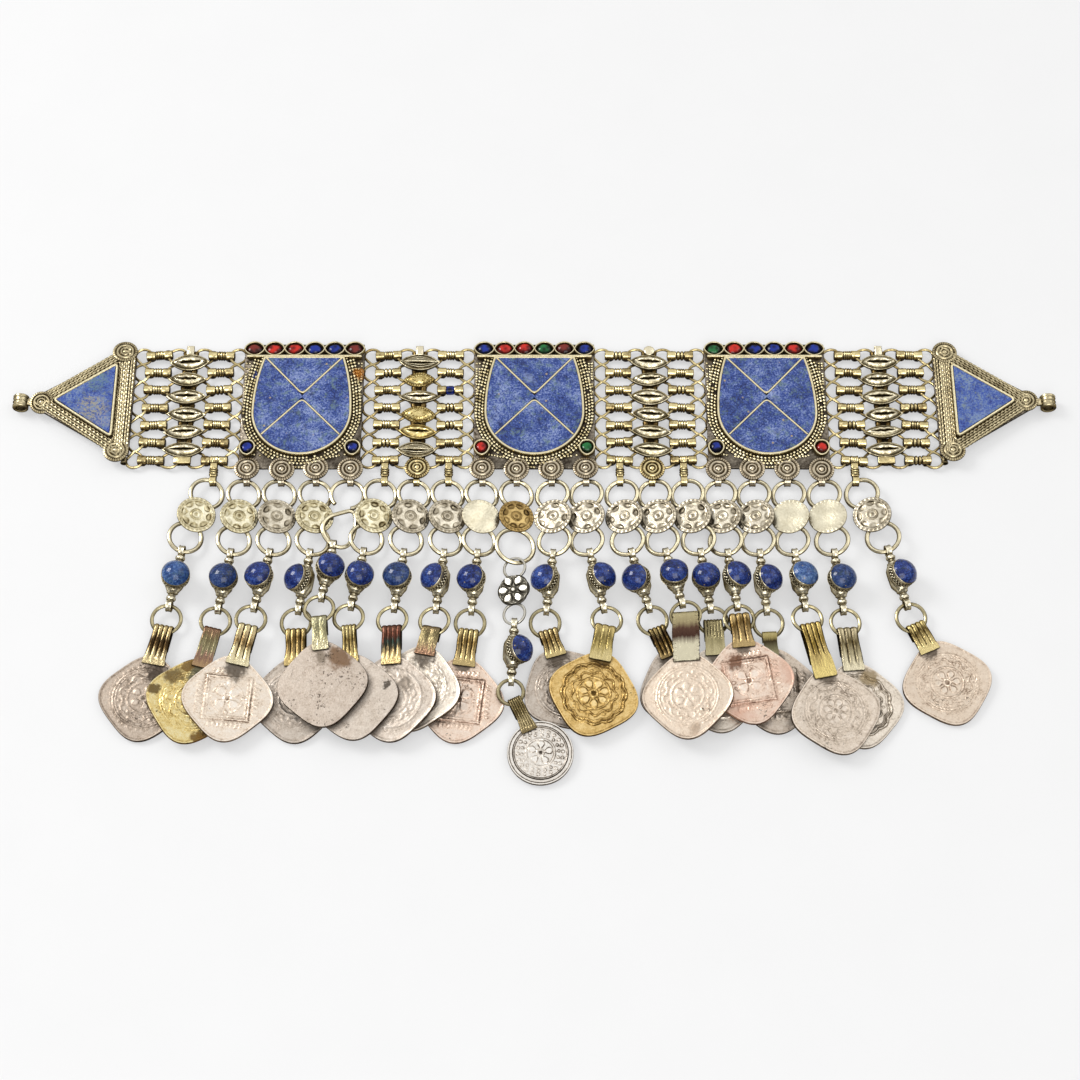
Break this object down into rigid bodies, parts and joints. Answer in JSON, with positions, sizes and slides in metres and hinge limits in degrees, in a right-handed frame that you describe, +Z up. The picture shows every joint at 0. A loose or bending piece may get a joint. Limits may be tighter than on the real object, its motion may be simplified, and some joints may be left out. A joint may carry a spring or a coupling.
{
  "type": "coin necklace",
  "caption": "Flexible collar of laced panels and stone-set plaques with a tube loop at each end and a fringe of ring-hung beads and coins.",
  "frame": {"origin": "on the surface that the necklace lies on, under the middle of its bounding box", "axes": "+X along the band from the left end to the right end, +Y across the band towards its upper edge, +Z up from the surface"},
  "size_m": [0.315, 0.1437, 0.0102],
  "materials": {
    "old_silver": "worn low-grade silver, yellowish, dark in the recesses",
    "bright_silver": "brighter worn silver",
    "yellow_wire": "worn yellow wire",
    "coin_metal": "worn nickel alloy with brown stains",
    "coin_brass": "worn coin brass",
    "lapis": "polished lapis with pale veins",
    "cabochon": "polished dark blue",
    "glass_red": "cut red glass on foil",
    "glass_garnet": "cut dark red glass on foil",
    "glass_blue": "cut dark blue glass on foil",
    "glass_green": "cut green glass on foil"
  },
  "bodies": {
    "root": {"end_plate_left": "old_silver", "end_plate_right": "old_silver", "plaque_left": "old_silver", "plaque_centre": "old_silver", "plaque_right": "old_silver", "end_lapis_left": "lapis", "end_lapis_right": "lapis", "lapis_inlay_left": "lapis", "lapis_inlay_centre": "lapis", "lapis_inlay_right": "lapis", "glass_red": "glass_red", "glass_garnet": "glass_garnet", "glass_blue": "glass_blue", "glass_green": "glass_green", "panel_1_barrels": "old_silver", "panel_1_centre": "old_silver", "panel_1_lacing": "yellow_wire", "panel_2_barrels": "old_silver", "panel_2_centre": "old_silver", "panel_2_lacing": "yellow_wire", "panel_3_barrels": "old_silver", "panel_3_centre": "old_silver", "panel_3_lacing": "yellow_wire", "panel_4_barrels": "old_silver", "panel_4_centre": "old_silver", "panel_4_lacing": "yellow_wire", "disc_links_left": "old_silver", "disc_links_right": "old_silver", "bead_settings_left": "old_silver", "bead_settings_right": "old_silver", "silver_link": "bright_silver", "bent_ring": "yellow_wire", "cabochons": "cabochon", "coin_rings": "yellow_wire", "coin_01": "coin_metal", "coin_02": "coin_brass", "coin_03": "coin_metal", "coin_04": "coin_metal", "coin_05": "coin_metal", "coin_06": "coin_metal", "coin_07": "coin_metal", "coin_08": "coin_metal", "coin_09": "coin_metal", "coin_10": "bright_silver", "coin_11": "coin_metal", "coin_12": "coin_brass", "coin_13": "coin_metal", "coin_14": "coin_metal", "coin_15": "coin_metal", "coin_16": "coin_metal", "coin_17": "coin_metal", "coin_18": "coin_metal", "coin_19": "coin_metal", "coin_20": "coin_metal"}
  },
  "joints": []
}
